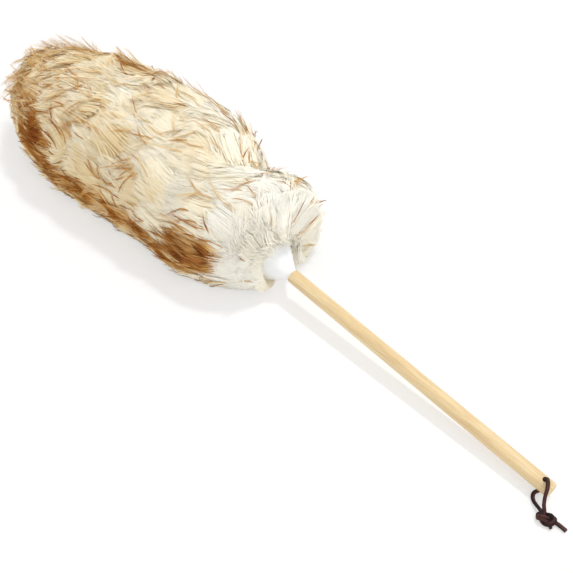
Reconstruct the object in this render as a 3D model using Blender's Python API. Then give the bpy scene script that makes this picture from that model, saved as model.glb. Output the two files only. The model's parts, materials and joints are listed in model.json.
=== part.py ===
"""Lambswool duster with a wooden handle, a moulded collar and a leather hanging lace.

Metres, +Z up. The duster lies on a surface at Z = 0 with its length along X: the handle's
tail is at +X and the woollen head at -X. The near side, where the lace lies, is -Y.

The rigid pieces are modelled along one straight axis, in its own frame, whose origin is the
joint plane between the handle and the collar: +X runs down the handle, and a "depth" is a
distance from the joint plane into the head, at -X. An empty tilts that axis, because the
head holds the collar higher than the lace holds the tail.
"""

from math import asin, atan, cos, exp, pi, sin

import bmesh
import bpy
import numpy as np
from mathutils import Matrix, Vector

MM = 0.001

# Clearances
FIT = 0.3 * MM                  # between two pieces that touch on the real object
OVERRUN = 1.0 * MM              # how far a cutter passes a surface
MERGE = 0.001 * MM

# Handle, a half inch dowel
HANDLE_DIAMETER = 12.7 * MM
HANDLE_LENGTH = 286.0 * MM
HANDLE_TAIL_ROUND = 1.8 * MM
HANDLE_FRONT_ROUND = 0.8 * MM
SOCKET_DIAMETER = 7.4 * MM      # blind bore for the collar's spigot
SOCKET_DEPTH = 30.0 * MM
HANG_HOLE_DIAMETER = 4.2 * MM
HANG_HOLE_FROM_TAIL = 8.0 * MM

# Collar, a moulded cone with a spigot for the handle and a hub for the core tube
COLLAR_NECK_RADIUS = 5.0 * MM
COLLAR_NECK_LENGTH = 1.6 * MM
COLLAR_RIM_RADIUS = 19.6 * MM
COLLAR_DEPTH = 24.0 * MM
COLLAR_WALL = 1.6 * MM
COLLAR_LIP_ROUND = 0.5 * MM
SPIGOT_LENGTH = 27.0 * MM
HUB_LENGTH = 24.0 * MM          # beyond the collar's inner shoulder
PEG_CHAMFER = 1.0 * MM

# Core tube and the plug that closes its far end
CORE_DIAMETER = 16.0 * MM
CORE_WALL = 1.8 * MM
PLUG_FLANGE = 2.0 * MM
PLUG_SHANK = 12.0 * MM

# Sheepskin: the hide is rolled round the core, and the fleece stands on it
HIDE_THICKNESS = 2.0 * MM
HIDE_START = 16.5 * MM          # depth where the hide begins, inside the collar
FLEECE_START = 25.0 * MM        # depth of the wool's first face, just past the rim
FLEECE_LENGTH = 380.0 * MM
FLEECE_RADIUS = 80.0 * MM
PILE_LENGTH = 62.0 * MM         # wool beyond the hide's closed end
FLAP_LENGTH = 13.0 * MM         # wool that lies back under the rim on the near side
FLAP_THICKNESS = 6.0 * MM
FLAP_TAPER = 0.6 * MM
FLAP_BACK_SHARE = 0.7            # how far back the flap's outer edge reaches

# Staples that hold the hide, three at each end
STAPLE_CROWN = 6.0 * MM
STAPLE_WIRE_WIDTH = 1.0 * MM
STAPLE_WIRE_THICKNESS = 0.6 * MM
STAPLE_BITE = 1.0 * MM          # how far the legs go into the tube's wall
STAPLE_EDGE = 1.2 * MM          # from the hide's end to the crown
STAPLES_PER_END = 3

# How the duster lies
JOINT_HEIGHT = 24.5 * MM        # axis above the surface at the joint plane
LACE_SLACK = 0.8 * MM           # play over the lace where it runs under the handle

# Leather lace
LACE_DIAMETER = 2.8 * MM
LACE_STEP = 1.8 * MM            # between the tube's rings
KNOT_LENGTH = 13.8 * MM
KNOT_WIDTH = 10.0 * MM
KNOT_HEIGHT = 6.8 * MM
KNOT_PLACE = (18.4 * MM, -18.1 * MM)
KNOT_TURN = 21.0 * pi / 180.0
KNOT_REST = 0.1 * MM
KNOT_WAIST_SHARE = 0.12         # depth of the grooves between the knot's turns
KNOT_GROOVES = 3

# Faces
SHARP_ANGLE = 36.0 * pi / 180.0
ROUND_SEGMENTS = 32
HOLE_SEGMENTS = 24
FLEECE_SEGMENTS = 52
ARC_STEPS = 4
KNOT_SEGMENTS = 20
KNOT_RINGS = 12
LACE_BEVEL_STEPS = 2
ROUTE_SAMPLES = 12              # between two points of a route

# Outline of the fleece, chosen against the photograph: shares of its length, and of its
# radius on the far upper side and on the near lower side
FLEECE_STATION_SHARES = (0.006, 0.02, 0.045, 0.075, 0.105, 0.135, 0.165, 0.20, 0.245, 0.29, 0.34,
                         0.39, 0.44, 0.49, 0.54, 0.59, 0.64, 0.69, 0.74, 0.79, 0.84, 0.88, 0.92,
                         0.955, 0.982)
FAR_SIDE_SHARES = ((0.0, 0.30), (0.006, 0.62), (0.02, 0.82), (0.05, 0.90), (0.09, 0.90),
                   (0.125, 0.86), (0.16, 0.84), (0.19, 0.85), (0.23, 0.89), (0.30, 0.97),
                   (0.37, 1.00), (0.45, 1.00), (0.52, 0.96), (0.60, 0.93), (0.68, 0.85),
                   (0.76, 0.73), (0.85, 0.60), (0.91, 0.46), (0.96, 0.30), (1.0, 0.13))
NEAR_SIDE_SHARES = ((0.0, 0.33), (0.006, 0.38), (0.03, 0.50), (0.06, 0.60), (0.095, 0.69),
                    (0.13, 0.75), (0.16, 0.81), (0.23, 0.83), (0.30, 0.88), (0.37, 0.92),
                    (0.45, 0.96), (0.52, 1.00), (0.60, 1.04), (0.68, 1.07), (0.765, 1.08),
                    (0.81, 1.04), (0.85, 0.98), (0.90, 0.85), (0.942, 0.70), (0.985, 0.48),
                    (1.0, 0.28))
NEAR_ANGLE = 120.0 * pi / 180.0  # from straight up towards the near side

# Swells and hollows of the combed wool. The first is the notch that sets off the tuft over the
# collar; the rest follow the soft lobes that the photograph shows, and go on round the far side.
# Share of the length, angle from straight up in degrees, reach along as a share, reach round
# in degrees, and height as a share of the radius.
FLEECE_SWELLS = (
    (0.165, -58.0, 0.045, 40.0, -0.20), (0.09, 45.0, 0.050, 30.0, 0.05),
    (0.05, -5.0, 0.045, 24.0, 0.05), (0.195, 48.0, 0.035, 34.0, -0.06),
    (0.28, 54.0, 0.060, 22.0, 0.05), (0.27, 12.0, 0.055, 20.0, 0.05),
    (0.40, 38.0, 0.035, 30.0, -0.06), (0.50, 48.0, 0.065, 24.0, 0.05),
    (0.485, 6.0, 0.050, 16.0, 0.04), (0.595, 36.0, 0.030, 28.0, -0.05),
    (0.67, 58.0, 0.060, 22.0, 0.05), (0.70, 22.0, 0.045, 18.0, 0.03),
    (0.70, -18.0, 0.035, 15.0, 0.07), (0.61, -16.0, 0.030, 14.0, -0.04),
    (0.52, -20.0, 0.035, 14.0, 0.05), (0.43, -17.0, 0.030, 14.0, -0.05),
    (0.25, -36.0, 0.040, 16.0, 0.05), (0.36, -70.0, 0.060, 26.0, 0.05),
    (0.52, -95.0, 0.050, 28.0, -0.05), (0.66, -75.0, 0.060, 26.0, 0.05),
    (0.30, -125.0, 0.055, 24.0, 0.04), (0.62, -135.0, 0.060, 24.0, 0.04),
    (0.80, -110.0, 0.040, 30.0, -0.04), (0.84, 20.0, 0.035, 30.0, -0.03),
    (0.33, 96.0, 0.055, 14.0, -0.04), (0.60, 98.0, 0.060, 14.0, 0.03))

# Colours, linear RGB
WOOD = (0.76, 0.55, 0.31)
WHITE_PLASTIC = (0.85, 0.85, 0.84)
GREY_PLASTIC = (0.55, 0.55, 0.56)
TAN_HIDE = (0.70, 0.58, 0.42)
STEEL = (0.62, 0.62, 0.64)
CREAM_WOOL = (0.86, 0.78, 0.62)
BROWN_LEATHER = (0.09, 0.035, 0.025)

# Sizes that follow from those above
HANDLE_RADIUS = HANDLE_DIAMETER / 2
CORE_RADIUS = CORE_DIAMETER / 2
CORE_BORE = CORE_RADIUS - CORE_WALL
LACE_RADIUS = LACE_DIAMETER / 2
SPIGOT_RADIUS = SOCKET_DIAMETER / 2 - FIT
HUB_RADIUS = CORE_BORE - FIT
CONE_SLOPE = (COLLAR_RIM_RADIUS - COLLAR_NECK_RADIUS) / (COLLAR_DEPTH - COLLAR_NECK_LENGTH)
CONE_WALL_ACROSS = COLLAR_WALL / cos(atan(CONE_SLOPE))
SHOULDER_RADIUS = CORE_RADIUS + FIT
SHOULDER_DEPTH = COLLAR_NECK_LENGTH + (
    SHOULDER_RADIUS + CONE_WALL_ACROSS - COLLAR_NECK_RADIUS) / CONE_SLOPE
HIDE_BORE = CORE_RADIUS + FIT
HIDE_RADIUS = HIDE_BORE + HIDE_THICKNESS
FLEECE_BORE = HIDE_RADIUS + FIT
FLEECE_END = FLEECE_START + FLEECE_LENGTH
HIDE_END = FLEECE_END - PILE_LENGTH
PLUG_END = HIDE_END - HIDE_THICKNESS - FIT
CORE_START = SHOULDER_DEPTH + FIT
CORE_END = PLUG_END - PLUG_FLANGE - FIT
HOLE_PLACE = HANDLE_LENGTH - HANG_HOLE_FROM_TAIL
HOLE_HEIGHT = HANDLE_RADIUS + LACE_DIAMETER + LACE_SLACK
TILT = asin((JOINT_HEIGHT - HOLE_HEIGHT) / HOLE_PLACE)
STAPLE_RISE = HIDE_RADIUS + FIT + STAPLE_WIRE_THICKNESS
STAPLE_POCKET = STAPLE_RISE + FIT

# The lace's route, from the hang hole's centre on the handle's axis: along X, along Y, and
# up. The loop leaves the top of the hole, comes down over the near side of the handle, and
# its other leg leaves underneath and lies on the surface. Both legs end at the knot.
LOOP_ROUTE = [Vector(point) * MM for point in (
    (13.6, -15.3, -5.0), (12.6, -14.5, -4.1), (11.4, -13.4, -2.4), (10.1, -12.1, 0.0),
    (8.8, -10.3, 2.7), (7.6, -8.0, 5.3), (6.4, -5.6, 7.5), (4.9, -3.4, 8.9), (3.0, -1.5, 9.5),
    (1.65, -0.6, 9.2), (0.75, -0.15, 8.35), (0.35, 0.0, 7.0), (0.3, 0.0, 4.0), (0.15, 0.1, 0.0),
    (0.1, 0.2, -4.0), (0.1, 0.2, -5.7), (-0.1, -0.15, -7.1), (-0.6, -1.0, -8.1),
    (-1.3, -2.3, -8.5), (-2.2, -4.6, -8.5), (-2.1, -7.0, -8.5), (-0.8, -9.5, -8.5),
    (1.8, -11.8, -8.4), (5.2, -13.4, -8.1), (8.8, -14.7, -7.6), (12.2, -16.4, -7.0))]
LONG_TAIL_ROUTE = [Vector(point) * MM for point in (
    (25.2, -15.3, -7.2), (28.0, -15.0, -8.0), (31.0, -14.8, -8.4), (34.0, -14.6, -8.5))]
SHORT_TAIL_ROUTE = [Vector(point) * MM for point in (
    (22.8, -21.4, -7.7), (24.1, -22.1, -8.1), (25.4, -22.7, -8.4))]


def material(name, colour, roughness, metallic=0.0):
    finish = bpy.data.materials.new(name)
    finish.use_nodes = True
    shader = finish.node_tree.nodes["Principled BSDF"]
    shader.inputs["Base Color"].default_value = (*colour, 1.0)
    shader.inputs["Roughness"].default_value = roughness
    shader.inputs["Metallic"].default_value = metallic
    return finish


def add_object(name, mesh, finish, parent):
    mesh.materials.append(finish)
    piece = bpy.data.objects.new(name, mesh)
    bpy.context.scene.collection.objects.link(piece)
    piece.parent = parent
    return piece


def mesh_from(name, bm, smooth=True):
    """Close a bmesh into a mesh whose faces point out."""
    bmesh.ops.remove_doubles(bm, verts=bm.verts, dist=MERGE)
    bmesh.ops.recalc_face_normals(bm, faces=bm.faces)
    mesh = bpy.data.meshes.new(name)
    bm.to_mesh(mesh)
    bm.free()
    if smooth:
        mesh.shade_smooth()
        mesh.set_sharp_from_angle(angle=SHARP_ANGLE)
    return mesh


def turned(name, outline, closed, segments=ROUND_SEGMENTS):
    """Spin an outline of (x, radius) points about the X axis."""
    bm = bmesh.new()
    verts = [bm.verts.new((x, 0.0, radius)) for x, radius in outline]
    edges = [bm.edges.new(pair) for pair in zip(verts, verts[1:])]
    if closed:
        edges.append(bm.edges.new((verts[-1], verts[0])))
    bmesh.ops.spin(bm, geom=verts + edges, cent=(0.0, 0.0, 0.0), axis=(1.0, 0.0, 0.0),
                   angle=2 * pi, steps=segments, use_merge=True)
    return mesh_from(name, bm)


def quarter_round(x, radius, size, turn):
    """Points of a rounded edge at (x, radius); turn is +1 at an end that faces +X."""
    points = []
    for step in range(ARC_STEPS + 1):
        angle = step * pi / 2 / ARC_STEPS
        points.append((x - turn * size * (1 - sin(angle)), radius - size * (1 - cos(angle))))
    return points


def cut(piece, cutter):
    cutter.hide_render = True
    cutter.display_type = "WIRE"
    difference = piece.modifiers.new("cut", "BOOLEAN")
    difference.operation = "DIFFERENCE"
    difference.solver = "EXACT"
    difference.object = cutter


def box_into(bm, low, high, turn):
    """Add a box between two corners, turned by a matrix."""
    size = Vector(high) - Vector(low)
    middle = (Vector(high) + Vector(low)) / 2
    place = turn @ Matrix.Translation(middle) @ Matrix.Diagonal((*size, 1.0))
    bmesh.ops.create_cube(bm, size=1.0, matrix=place)


def make_handle(parent, finish):
    """Dowel with a socket in its front end and a hole across its tail."""
    socket_radius = SOCKET_DIAMETER / 2
    front = [(x, radius) for x, radius in reversed(
        quarter_round(0.0, HANDLE_RADIUS, HANDLE_FRONT_ROUND, -1))]
    tail = quarter_round(HANDLE_LENGTH, HANDLE_RADIUS, HANDLE_TAIL_ROUND, 1)
    outline = [(SOCKET_DEPTH, 0.0), (SOCKET_DEPTH, socket_radius), (0.0, socket_radius)]
    outline += front + tail + [(HANDLE_LENGTH, 0.0)]
    handle = add_object("handle", turned("handle", outline, closed=False), finish, parent)

    bm = bmesh.new()
    bmesh.ops.create_cone(bm, cap_ends=True, segments=HOLE_SEGMENTS,
                          radius1=HANG_HOLE_DIAMETER / 2, radius2=HANG_HOLE_DIAMETER / 2,
                          depth=HANDLE_DIAMETER + 2 * OVERRUN)
    drill = add_object("drill_guide", mesh_from("drill_guide", bm), finish, parent)
    drill.location = (HOLE_PLACE, 0.0, 0.0)
    cut(handle, drill)
    return handle


def make_collar(parent, finish):
    """Spigot, cone and hub in one moulding."""
    inner_rim = COLLAR_RIM_RADIUS - CONE_WALL_ACROSS
    hub_end = SHOULDER_DEPTH + HUB_LENGTH
    outline = [
        (SPIGOT_LENGTH, 0.0),
        (SPIGOT_LENGTH, SPIGOT_RADIUS - PEG_CHAMFER),
        (SPIGOT_LENGTH - PEG_CHAMFER, SPIGOT_RADIUS),
        (-FIT, SPIGOT_RADIUS),
        (-FIT, COLLAR_NECK_RADIUS),
        (-COLLAR_NECK_LENGTH, COLLAR_NECK_RADIUS),
        (-COLLAR_DEPTH + COLLAR_LIP_ROUND, COLLAR_RIM_RADIUS),
        (-COLLAR_DEPTH, COLLAR_RIM_RADIUS - COLLAR_LIP_ROUND),
        (-COLLAR_DEPTH, inner_rim),
        (-SHOULDER_DEPTH, SHOULDER_RADIUS),
        (-SHOULDER_DEPTH, HUB_RADIUS),
        (-hub_end + PEG_CHAMFER, HUB_RADIUS),
        (-hub_end, HUB_RADIUS - PEG_CHAMFER),
        (-hub_end, 0.0),
    ]
    return add_object("collar", turned("collar", outline, closed=False), finish, parent)


def make_core_tube(parent, finish):
    outline = [(-CORE_START, CORE_BORE), (-CORE_START, CORE_RADIUS),
               (-CORE_END, CORE_RADIUS), (-CORE_END, CORE_BORE)]
    return add_object("core_tube", turned("core_tube", outline, closed=True), finish, parent)


def make_tip_plug(parent, finish):
    """Flanged plug pressed into the core tube's far end."""
    shank_end = CORE_END - PLUG_SHANK
    outline = [(-PLUG_END, 0.0), (-PLUG_END, CORE_RADIUS),
               (-PLUG_END + PLUG_FLANGE, CORE_RADIUS), (-PLUG_END + PLUG_FLANGE, HUB_RADIUS),
               (-shank_end - PEG_CHAMFER, HUB_RADIUS), (-shank_end, HUB_RADIUS - PEG_CHAMFER),
               (-shank_end, 0.0)]
    return add_object("tip_plug", turned("tip_plug", outline, closed=False), finish, parent)


def make_hide(parent, finish):
    """Rolled hide, closed over the plug."""
    outline = [(-HIDE_END, 0.0), (-HIDE_END, HIDE_RADIUS), (-HIDE_START, HIDE_RADIUS),
               (-HIDE_START, HIDE_BORE), (-HIDE_END + HIDE_THICKNESS, HIDE_BORE),
               (-HIDE_END + HIDE_THICKNESS, 0.0)]
    return add_object("hide_sleeve", turned("hide_sleeve", outline, closed=False), finish, parent)


def staple_places():
    """Depth of each staple's middle, and its angle round the core."""
    reach = STAPLE_EDGE + STAPLE_CROWN / 2
    for middle, lead in ((HIDE_START + reach, 0.0), (CORE_END - PLUG_SHANK / 2, pi)):
        for index in range(STAPLES_PER_END):
            yield middle, lead + index * 2 * pi / STAPLES_PER_END


def make_staples(parent, finish, drilled):
    """Wire staples through the hide into the tube's wall, and the holes for their legs."""
    crown_low = HIDE_RADIUS + FIT
    leg_end = CORE_RADIUS - STAPLE_BITE
    half_width = STAPLE_WIRE_WIDTH / 2
    outer = STAPLE_CROWN / 2
    inner = outer - STAPLE_WIRE_THICKNESS
    corners = [(-outer, leg_end), (-inner, leg_end), (-inner, crown_low), (inner, crown_low),
               (inner, leg_end), (outer, leg_end), (outer, STAPLE_RISE), (-outer, STAPLE_RISE)]
    holes = bmesh.new()
    for number, (middle, angle) in enumerate(staple_places(), start=1):
        turn = Matrix.Rotation(angle, 4, "X") @ Matrix.Translation((-middle, 0.0, 0.0))
        for left, right in ((-outer, -inner), (inner, outer)):
            box_into(holes, (left - FIT, -half_width - FIT, leg_end - FIT),
                     (right + FIT, half_width + FIT, crown_low + OVERRUN), turn)
        bm = bmesh.new()
        rim = [bm.verts.new((x, -half_width, z)) for x, z in corners]
        grown = bmesh.ops.extrude_face_region(bm, geom=[bm.faces.new(rim)])
        lifted = [item for item in grown["geom"] if isinstance(item, bmesh.types.BMVert)]
        bmesh.ops.translate(bm, vec=(0.0, STAPLE_WIRE_WIDTH, 0.0), verts=lifted)
        name = f"hide_staple_{number}"
        staple = add_object(name, mesh_from(name, bm, smooth=False), finish, parent)
        staple.location = (-middle, 0.0, 0.0)
        staple.rotation_euler = (angle, 0.0, 0.0)
    guide = add_object("staple_guide", mesh_from("staple_guide", holes, smooth=False),
                       finish, parent)
    for piece in drilled:
        cut(piece, guide)


def swell(angle, share):
    """Height of the wool's swells, as a share of its radius."""
    height = 0.0
    for place, bearing, reach, sweep, rise in FLEECE_SWELLS:
        turn = (angle * 180 / pi - bearing + 180) % 360 - 180
        height += rise * exp(-((share - place) / reach) ** 2 - (turn / sweep) ** 2)
    return height


def fleece_radius(angle, share):
    """Radius of the wool at an angle from straight up and a share of the fleece's length."""
    far = np.interp(share, *zip(*FAR_SIDE_SHARES))
    near = np.interp(share, *zip(*NEAR_SIDE_SHARES))
    blend = (1 + cos(angle - NEAR_ANGLE)) / 2
    return FLEECE_RADIUS * (far + (near - far) * blend + swell(angle, share))


def on_ring(depth, angle, radius):
    """Point of the head at a depth, an angle from straight up, and a radius."""
    return Vector((-depth, -radius * sin(angle), radius * cos(angle)))


def cut_flat_below(bm):
    """Cut a mesh in the axis's frame along the surface that the duster lies on."""
    up = Vector((-sin(TILT), 0.0, cos(TILT)))
    everything = bm.verts[:] + bm.edges[:] + bm.faces[:]
    sliced = bmesh.ops.bisect_plane(bm, geom=everything, plane_co=-JOINT_HEIGHT * up,
                                    plane_no=up, clear_inner=True)
    rim = [item for item in sliced["geom_cut"] if isinstance(item, bmesh.types.BMEdge)]
    bmesh.ops.edgeloop_fill(bm, edges=rim)


def fleece_rings():
    """Rings of (depth, radius) functions of the angle, from the blind bore to the tip."""
    staple_middle = CORE_END - PLUG_SHANK / 2
    pocket = STAPLE_CROWN / 2 + FIT
    bore = [(HIDE_END + FIT, FLEECE_BORE),
            (staple_middle + pocket, FLEECE_BORE), (staple_middle + pocket, STAPLE_POCKET),
            (staple_middle - pocket, STAPLE_POCKET), (staple_middle - pocket, FLEECE_BORE),
            (FLEECE_START, FLEECE_BORE), (FLEECE_START, COLLAR_RIM_RADIUS + FIT)]
    for depth, radius in bore:
        yield lambda angle, depth=depth, radius=radius: (depth, radius)

    def towards_near(angle):
        return max(0.0, cos(angle - NEAR_ANGLE))

    def flap(angle):
        return FLAP_LENGTH * towards_near(angle) ** 2 + FLAP_TAPER

    inside = COLLAR_RIM_RADIUS + FIT + FLAP_TAPER
    yield lambda angle: (FLEECE_START - flap(angle), inside)
    yield lambda angle: (FLEECE_START - FLAP_BACK_SHARE * flap(angle),
                         inside + FLAP_TAPER + FLAP_THICKNESS * towards_near(angle))
    for share in FLEECE_STATION_SHARES:
        yield lambda angle, share=share: (FLEECE_START + share * FLEECE_LENGTH,
                                          fleece_radius(angle, share))


def make_fleece(parent, finish):
    """Wool as one soft solid on the hide, flat where it lies on the surface."""
    bm = bmesh.new()
    angles = [2 * pi * step / FLEECE_SEGMENTS for step in range(FLEECE_SEGMENTS)]
    rings = []
    for ring in fleece_rings():
        rings.append([])
        for angle in angles:
            depth, radius = ring(angle)
            rings[-1].append(bm.verts.new(on_ring(depth, angle, radius)))
    for inner, outer in zip(rings, rings[1:]):
        for step in range(FLEECE_SEGMENTS):
            after = (step + 1) % FLEECE_SEGMENTS
            bm.faces.new((inner[step], inner[after], outer[after], outer[step]))
    blind = bm.verts.new((-HIDE_END - FIT, 0.0, 0.0))
    tip = bm.verts.new((-FLEECE_END, 0.0, 0.0))
    for step in range(FLEECE_SEGMENTS):
        after = (step + 1) % FLEECE_SEGMENTS
        bm.faces.new((blind, rings[0][after], rings[0][step]))
        bm.faces.new((tip, rings[-1][step], rings[-1][after]))
    cut_flat_below(bm)
    return add_object("fleece", mesh_from("fleece", bm), finish, parent)


def smooth_path(points, step):
    """Evenly spaced points on a smooth curve through the given ones."""
    ends = [2 * points[0] - points[1]] + points + [2 * points[-1] - points[-2]]
    fine = []
    for before, start, end, after in zip(ends, ends[1:], ends[2:], ends[3:]):
        for sample in range(ROUTE_SAMPLES):
            t = sample / ROUTE_SAMPLES
            fine.append(0.5 * (2 * start + (end - before) * t
                               + (2 * before - 5 * start + 4 * end - after) * t ** 2
                               + (3 * start - before - 3 * end + after) * t ** 3))
    fine.append(points[-1])
    travelled = [0.0]
    for start, end in zip(fine, fine[1:]):
        travelled.append(travelled[-1] + (end - start).length)
    count = max(2, round(travelled[-1] / step))
    wanted = np.linspace(0.0, travelled[-1], count + 1)
    columns = [np.interp(wanted, travelled, [point[axis] for point in fine]) for axis in range(3)]
    return [Vector(point) for point in zip(*columns)], travelled[-1]


def make_lace(name, route, finish, parent):
    """Round tube along a route."""
    points, length = smooth_path(route, LACE_STEP)
    curve = bpy.data.curves.new(name, "CURVE")
    curve.dimensions = "3D"
    curve.bevel_depth = LACE_RADIUS
    curve.bevel_resolution = LACE_BEVEL_STEPS
    curve.use_fill_caps = True
    spline = curve.splines.new("POLY")
    spline.points.add(len(points) - 1)
    for target, point in zip(spline.points, points):
        target.co = (*point, 1.0)
    print(name, "length", round(length / MM, 1), "mm")
    return add_object(name, curve, finish, parent)


def make_knot(parent, finish):
    """Overhand knot of the doubled lace, as one lump with grooves between its turns."""
    bm = bmesh.new()
    bmesh.ops.create_uvsphere(bm, u_segments=KNOT_SEGMENTS, v_segments=KNOT_RINGS, radius=1.0)
    half = Vector((KNOT_LENGTH, KNOT_WIDTH, KNOT_HEIGHT)) / 2
    for vert in bm.verts:
        along = vert.co.x
        groove = 1 - KNOT_WAIST_SHARE * (1 - cos(2 * pi * KNOT_GROOVES * (along + 1) / 2)) / 2
        vert.co = Vector((along * half.x, vert.co.y * half.y * groove, vert.co.z * half.z))
    knot = add_object("thong_knot", mesh_from("thong_knot", bm), finish, parent)
    knot.rotation_euler = (0.0, 0.0, KNOT_TURN)
    knot.location = (*KNOT_PLACE, KNOT_REST + half.z - HOLE_HEIGHT)
    return knot


def world_box(pieces):
    """Lowest and highest corners of some objects, as they are in the scene."""
    bpy.context.view_layer.update()
    graph = bpy.context.evaluated_depsgraph_get()
    corners = []
    for piece in pieces:
        shown = piece.evaluated_get(graph)
        mesh = shown.to_mesh()
        corners += [shown.matrix_world @ vert.co for vert in mesh.vertices]
        shown.to_mesh_clear()
    return Vector(map(min, zip(*corners))), Vector(map(max, zip(*corners)))


def main():
    for old in list(bpy.data.objects):
        bpy.data.objects.remove(old, do_unlink=True)

    wood = material("wood", WOOD, 0.55)
    white = material("white_plastic", WHITE_PLASTIC, 0.35)
    grey = material("grey_plastic", GREY_PLASTIC, 0.5)
    skin = material("hide", TAN_HIDE, 0.85)
    wire = material("staple_steel", STEEL, 0.3, 1.0)
    wool = material("wool", CREAM_WOOL, 0.95)
    leather = material("leather", BROWN_LEATHER, 0.6)

    duster = bpy.data.objects.new("duster_axis", None)
    bpy.context.scene.collection.objects.link(duster)
    duster.rotation_euler = (0.0, TILT, 0.0)
    duster.location = (0.0, 0.0, JOINT_HEIGHT)

    handle = make_handle(duster, wood)
    collar = make_collar(duster, white)
    core = make_core_tube(duster, grey)
    plug = make_tip_plug(duster, grey)
    hide = make_hide(duster, skin)
    make_staples(duster, wire, (core, hide))
    fleece = make_fleece(duster, wool)

    low, high = world_box((handle, collar, core, plug, hide, fleece))
    middle = (low + high) / 2
    duster.location.x -= middle.x
    duster.location.y -= middle.y

    pivot = bpy.data.objects.new("thong_pivot", None)
    bpy.context.scene.collection.objects.link(pivot)
    pivot.location = duster.location + Vector((HOLE_PLACE * cos(TILT), 0.0,
                                               -HOLE_PLACE * sin(TILT)))
    make_lace("thong_loop", LOOP_ROUTE, leather, pivot)
    make_knot(pivot, leather)
    make_lace("thong_tail_long", LONG_TAIL_ROUTE, leather, pivot)
    make_lace("thong_tail_short", SHORT_TAIL_ROUTE, leather, pivot)

    tail_face = duster.location + Vector((HANDLE_LENGTH * cos(TILT), 0.0,
                                          -HANDLE_LENGTH * sin(TILT)))
    print("tilt", round(TILT * 180 / pi, 3), "degrees, pivot", tuple(pivot.location),
          "tail face", tuple(tail_face), "joint plane", tuple(duster.location))
    print("hole axis", (sin(TILT), 0.0, cos(TILT)), "box", tuple(low), tuple(high))


main()
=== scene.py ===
"""Looks of the lambswool duster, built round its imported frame. Metres, +Z up.

The head of wool is at -X and the handle's tail at +X. Places on the duster are given in the
handle's own frame: a depth from the joint between handle and collar into the head, an angle
from straight up towards the near side, -Y, and a radius from the axis.
"""

import json
import math

import bmesh
import bpy
import numpy as np
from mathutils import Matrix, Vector
from mathutils.bvhtree import BVHTree


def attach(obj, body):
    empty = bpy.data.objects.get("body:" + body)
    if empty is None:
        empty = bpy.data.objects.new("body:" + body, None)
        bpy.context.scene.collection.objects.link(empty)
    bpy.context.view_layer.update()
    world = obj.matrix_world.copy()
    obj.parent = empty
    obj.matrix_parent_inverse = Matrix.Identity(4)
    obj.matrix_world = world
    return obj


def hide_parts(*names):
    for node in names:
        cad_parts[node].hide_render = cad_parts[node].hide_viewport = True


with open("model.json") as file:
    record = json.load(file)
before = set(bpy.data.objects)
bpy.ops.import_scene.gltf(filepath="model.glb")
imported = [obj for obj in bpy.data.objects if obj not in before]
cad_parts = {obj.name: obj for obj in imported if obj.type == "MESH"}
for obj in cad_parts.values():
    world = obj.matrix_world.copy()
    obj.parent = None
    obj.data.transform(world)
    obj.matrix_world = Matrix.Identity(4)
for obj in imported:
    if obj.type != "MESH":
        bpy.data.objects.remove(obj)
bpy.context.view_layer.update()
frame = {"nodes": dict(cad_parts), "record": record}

MM = 0.001
NODES = frame["nodes"]
MOUNTS = {mount["name"]: mount for mount in frame["record"]["mounts"]}
SWING = frame["record"]["behaviour"]["joints"][0]

# The duster's axis, from the frame
HANDLE_LENGTH = 286 * MM
TAIL_FACE = Vector(MOUNTS["handle_tail_face"]["pos_m"])
TO_TAIL = Vector(MOUNTS["handle_tail_face"]["axis"]).normalized()
AXIS_UP = Vector(SWING["axis"]).normalized()
HANG_HOLE = Vector(SWING["pos_m"])
JOINT = TAIL_FACE - HANDLE_LENGTH * TO_TAIL
TILT = math.asin(AXIS_UP.x)
AXIS_ORIGIN = np.array(JOINT)
FORWARD = -np.array(TO_TAIL)
UPWARD = np.array(AXIS_UP)
NEARWARD = np.array((0.0, -1.0, 0.0))

# Camera, fitted to the photograph
CAMERA_FROM_JOINT = Vector((459.0, -423.9, 622.6)) * MM
CAMERA_AZIMUTH = math.radians(47.8)
CAMERA_ELEVATION = math.radians(45.5)
CAMERA_LENS = 62.83
SENSOR_WIDTH = 36.0

# Light: two suns and a pale sky, and the floor as it is lit and as the camera sees it
KEY_SUN = {"power": 1.2, "direction": (-0.05, 0.46, 1.0), "angle": math.radians(6)}
FILL_SUN = {"power": 0.62, "direction": (1.0, -0.35, 0.5), "angle": math.radians(70)}
SKY_POWER = 0.77
WHITE = (1, 1, 1, 1)
FLOOR_BOUNCE = (0.88, 0.88, 0.88, 1)
FLOOR_MATTE = (0.46, 0.46, 0.46, 1)
FLOOR_GLOW = (1.0, 0.985, 0.965, 1)
FLOOR_GLOW_POWER = 0.52
FLOOR_REACH = 12.0

# Lace: its section and how finely it is built
LACE_WIDTH = 2.8 * MM
LACE_THICKNESS = 2.3 * MM
LACE_ROUNDING = 0.32
LACE_STEP = 0.5 * MM
LACE_EASING = 5
LACE_TURN_EASING = 12
LACE_SHARP = math.radians(60)
LACE_LOWEST = 0.05 * MM

# The ways of its two legs from the hang hole's centre, in millimetres
LOOP_INSIDE = (3.0, -7.0, -2.0)
UPPER_LEG = [(0.15, 0.1, 0.0), (0.3, 0.0, 4), (0.35, 0.0, 7), (0.75, -0.15, 8.35),
             (1.65, -0.6, 9.2), (3, -1.5, 9.5), (4.9, -3.4, 8.9), (6.4, -5.6, 7.5),
             (7.6, -8, 5.3), (8.8, -10.3, 2.7), (10.1, -12.1, 0.0), (11.4, -13.4, -2.4)]
LOWER_LEG = [(0.15, 0.1, 0.0), (0.1, 0.2, -4), (0.1, 0.2, -5.7), (-0.1, -0.15, -7.1),
             (-0.6, -1, -8), (-1.3, -2.3, -8.35), (-2.2, -4.6, -8.35), (-2.1, -7, -8.35),
             (-0.8, -9.5, -8.35), (1.8, -11.8, -8.3), (5.2, -13.4, -7.8)]

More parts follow.
